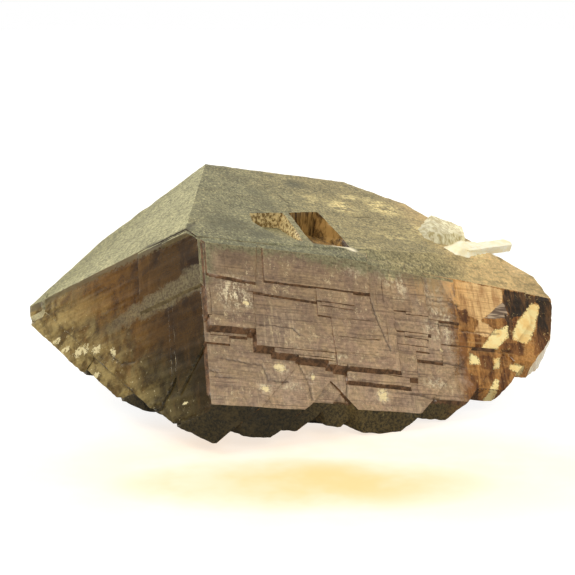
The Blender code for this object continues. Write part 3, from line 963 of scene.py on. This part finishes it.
def quartz_material():
    """One see-through material for the whole crystal. The masks tell its parts apart."""
    material = bpy.data.materials.new("smoky_quartz")
    material.use_nodes = True
    tree = material.node_tree
    g = Graph(tree)
    shader = tree.nodes["Principled BSDF"]
    look = Look(g)
    dusty = dust_on_front(g, look)
    # Its second mask, the veils, also holds the front face's painted glints.
    front, veils = front_color(g, look)
    dust = g.grade(look.grain, 0.38, 0.60, rgb(84, 82, 54), rgb(134, 132, 100))
    left, left_dust_and_glints = left_color(g, look)
    # Painted shade: the ledges of the front face's plates face down and are painted dark brown.
    ledge = g.grade(look.facets, 0.40, 0.60, rgb(70, 48, 30), rgb(128, 92, 62))

    color = end_color(g, look)
    color = g.paint(color, behind_color(g, look), look.behind, g.inverse(look.right))
    color = g.mix(look.satin, color, g.paint(front, dust, dusty, 0.85))
    color = g.mix(look.left, color, left)
    color = g.mix(look.dark_under, color, under_color(g, look))
    color = g.mix(look.crown, color, crown_color(g, look))
    color = g.mix(look.ledge, color, ledge)
    color = g.mix(look.pit, color, pit_color(g, look))
    color = g.paint(color, rgb(250, 240, 214), look.slash, 0.95)
    color = g.mix(look.pale, color, pale_color(g, look))
    # Painted highlights along the creases of the front face.
    color = g.paint(color, rgb(190, 160, 116), look.crease, look.satin, 0.18)
    glints = g.product(g.ramp(look.facets, 0.65, 0.71), look.dark_under)
    color = g.paint(color, rgb(190, 172, 118), glints, 0.6)
    g.put(shader.inputs["Base Color"], color)

    shapes = g.product(g.highest(look.gold, look.dark, look.tan, look.grey), look.front)
    # How much of the light the surface keeps. The rest goes through the stone.
    solid = g.highest(
        0.58,
        g.product(look.satin, 0.78),
        g.product(dusty, 0.95),
        g.product(look.left, g.ramp(look.y, -14.0, 6.0, 0.88, 0.62)),
        g.product(left_dust_and_glints, 0.85),
        g.product(look.dark_under, 0.85),
        g.product(look.crown, g.ramp(look.x, 30.0, 50.0, 0.97, 0.85)),
        g.product(look.ledge, 0.88),
        g.product(look.pit, 0.85),
        g.product(look.pale, 0.9),
        look.slash,
        g.product(veils, look.satin, 0.95),
        g.product(shapes, 0.97),
        g.product(look.outer, 0.95),
        g.product(look.behind, g.inverse(look.clear), 0.6),
    )
    g.put(shader.inputs["Transmission Weight"], g.inverse(solid))

    rough = g.total(
        0.06,
        g.product(look.satin, 0.34),
        g.product(look.left, 0.14),
        g.product(left_dust_and_glints, 0.35),
        g.product(look.dark_under, 0.35),
        g.product(look.crown, 0.55),
        g.product(look.ledge, 0.3),
        g.product(look.pit, 0.2),
        g.product(look.pale, 0.25),
        g.product(look.behind, 0.2),
        g.product(shapes, 0.15),
    )
    g.put(shader.inputs["Roughness"], rough)
    g.put(shader.inputs["IOR"], QUARTZ_IOR)

    prism = g.total(look.satin, look.behind, g.product(look.left, 0.35))
    height = g.total(
        g.product(look.lines, prism, 0.5),
        g.product(look.fine_lines, prism, 0.3),
        g.product(look.speck, look.satin, 0.25),
        g.product(look.grain, look.crown, 0.45),
        g.product(look.grain, look.under, 0.8),
    )
    bump = g.node("Bump")
    g.put(bump.inputs["Strength"], 0.5)
    g.put(bump.inputs["Distance"], BUMP_HEIGHT)
    g.put(bump.inputs["Height"], height)
    g.put(shader.inputs["Normal"], bump.outputs[0])

    absorb = g.node("VolumeAbsorption")
    g.put(absorb.inputs["Color"], SMOKE)
    g.put(absorb.inputs["Density"], SMOKE_DENSITY)
    tree.links.new(absorb.outputs[0], tree.nodes["Material Output"].inputs["Volume"])
    return material


# --- Floor, lights and camera, in metres -------------------------------------

FLOOR_HALF = 3.0
# Where the floor is painted with a golden glow in front of the crystal, standing in for light that has come
# through it.
GLOWS = ((0.002, -0.048, 0.036, 0.015), (0.006, -0.043, 0.066, 0.030, 0.45))
WARM_LIGHT = (1.0, 0.96, 0.84)
AIM = (0.0, 0.0, 0.02)


def floor():
    """A pale floor that the camera sees almost white, with a painted golden glow in front of the crystal."""
    mesh = bpy.data.meshes.new("floor")
    bm = bmesh.new()
    bmesh.ops.create_grid(bm, x_segments=8, y_segments=8, size=FLOOR_HALF)
    bm.to_mesh(mesh)
    bm.free()
    material = bpy.data.materials.new("pale_floor")
    material.use_nodes = True
    g = Graph(material.node_tree)
    shader = material.node_tree.nodes["Principled BSDF"]
    place = g.node("TexCoord").outputs["Object"]
    x, y, _ = g.split(place)
    patchy = g.ramp(g.noise(place, 45.0, 4.0, 0.6), 0.30, 0.60, 0.7, 1.0)
    glow = g.paint((1.0, 1.0, 1.0, 1.0), (0.95, 0.52, 0.12, 1.0), g.spots(x, y, GLOWS), patchy)
    g.put(shader.inputs["Base Color"], (0.30, 0.29, 0.26, 1.0))
    g.put(shader.inputs["Emission Color"], glow)
    lit_from_behind = g.ramp(y, -0.03, 0.06, 0.05, 1.0)
    seen = g.node("LightPath").outputs["Is Camera Ray"]
    g.put(shader.inputs["Emission Strength"], g.blend(seen, lit_from_behind, 0.88))
    g.put(shader.inputs["Roughness"], 0.8)
    g.put(shader.inputs["Specular IOR Level"], 0.1)
    mesh.materials.append(material)
    linked("floor", mesh)


def area_light(name, place, size, power):
    """A round warm lamp that shines on the crystal."""
    light = bpy.data.lights.new(name, "AREA")
    light.shape = "DISK"
    light.size = size
    light.energy = power
    light.color = WARM_LIGHT
    obj = linked(name, light)
    obj.location = place
    obj.rotation_euler = (Vector(AIM) - Vector(place)).to_track_quat("-Z", "Y").to_euler()


def lights():
    """Walls that the camera sees white and that light the crystal softly, most from above and behind."""
    world = bpy.data.worlds.new("studio")
    bpy.context.scene.world = world
    world.use_nodes = True
    tree = world.node_tree
    g = Graph(tree)
    white = tree.nodes["Background"]
    g.put(white.inputs["Color"], (1, 1, 1, 1))
    walls = g.node("Background")
    _, y, z = g.split(g.node("TexCoord").outputs["Generated"])
    path = g.node("LightPath").outputs
    level = g.total(0.06, g.ramp(z, 0.0, 1.0, 0.0, 0.45), g.ramp(y, -0.1, 0.8, 0.0, 0.9))
    through = g.total(0.35, g.ramp(z, -0.2, 0.8, 0.0, 0.5), g.ramp(y, -0.4, 0.6, 0.0, 1.1))
    brightness = g.blend(path["Is Transmission Ray"], level, through)
    g.put(walls.inputs["Color"], g.tint((1.0, 0.97, 0.86), brightness))
    both = g.node("MixShader")
    tree.links.new(path["Is Camera Ray"], both.inputs[0])
    tree.links.new(walls.outputs[0], both.inputs[1])
    tree.links.new(white.outputs[0], both.inputs[2])
    tree.links.new(both.outputs[0], tree.nodes["World Output"].inputs["Surface"])
    area_light("key", (-0.45, -0.15, 0.55), 0.35, 2.7)
    area_light("fill", (0.25, -0.55, 0.45), 0.40, 2.5)


def camera():
    data = bpy.data.cameras.new("camera")
    data.lens = LENS
    data.sensor_width = SENSOR
    data.clip_start, data.clip_end = 0.01, 20.0
    obj = linked("camera", data)
    away = Vector((0, -math.cos(ELEVATION), math.sin(ELEVATION)))
    obj.location = (LOOK_AT + DISTANCE * away) * MM
    obj.rotation_euler = (math.pi / 2 - ELEVATION, 0, 0)
    bpy.context.scene.camera = obj


def look_settings():
    scene = bpy.context.scene
    scene.view_settings.view_transform = "Standard"
    scene.view_settings.look = "None"
    cycles = scene.cycles
    cycles.use_denoising = True
    cycles.max_bounces = 8
    cycles.transmission_bounces = 6
    cycles.glossy_bounces = 3
    cycles.diffuse_bounces = 3
    cycles.sample_clamp_indirect = 4.0
    cycles.blur_glossy = 0.6


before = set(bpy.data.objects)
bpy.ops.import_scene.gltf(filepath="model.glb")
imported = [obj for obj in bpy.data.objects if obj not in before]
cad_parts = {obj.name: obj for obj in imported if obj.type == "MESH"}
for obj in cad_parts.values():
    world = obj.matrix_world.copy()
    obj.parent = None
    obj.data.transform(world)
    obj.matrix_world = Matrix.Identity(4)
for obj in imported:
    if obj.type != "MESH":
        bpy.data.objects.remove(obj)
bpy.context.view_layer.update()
camera()
look_settings()
floor()
lights()
quartz = quartz_material()

crystal = surface()
mark_groups(crystal)
mark_points(crystal)
roughened(crystal)
crystal.data.materials.append(quartz)
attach(crystal, "root")
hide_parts("smoky_quartz")
for name, form in CHIPS.items():
    added = chip(name, **form)
    added.data.materials.append(quartz)
    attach(added, "root")
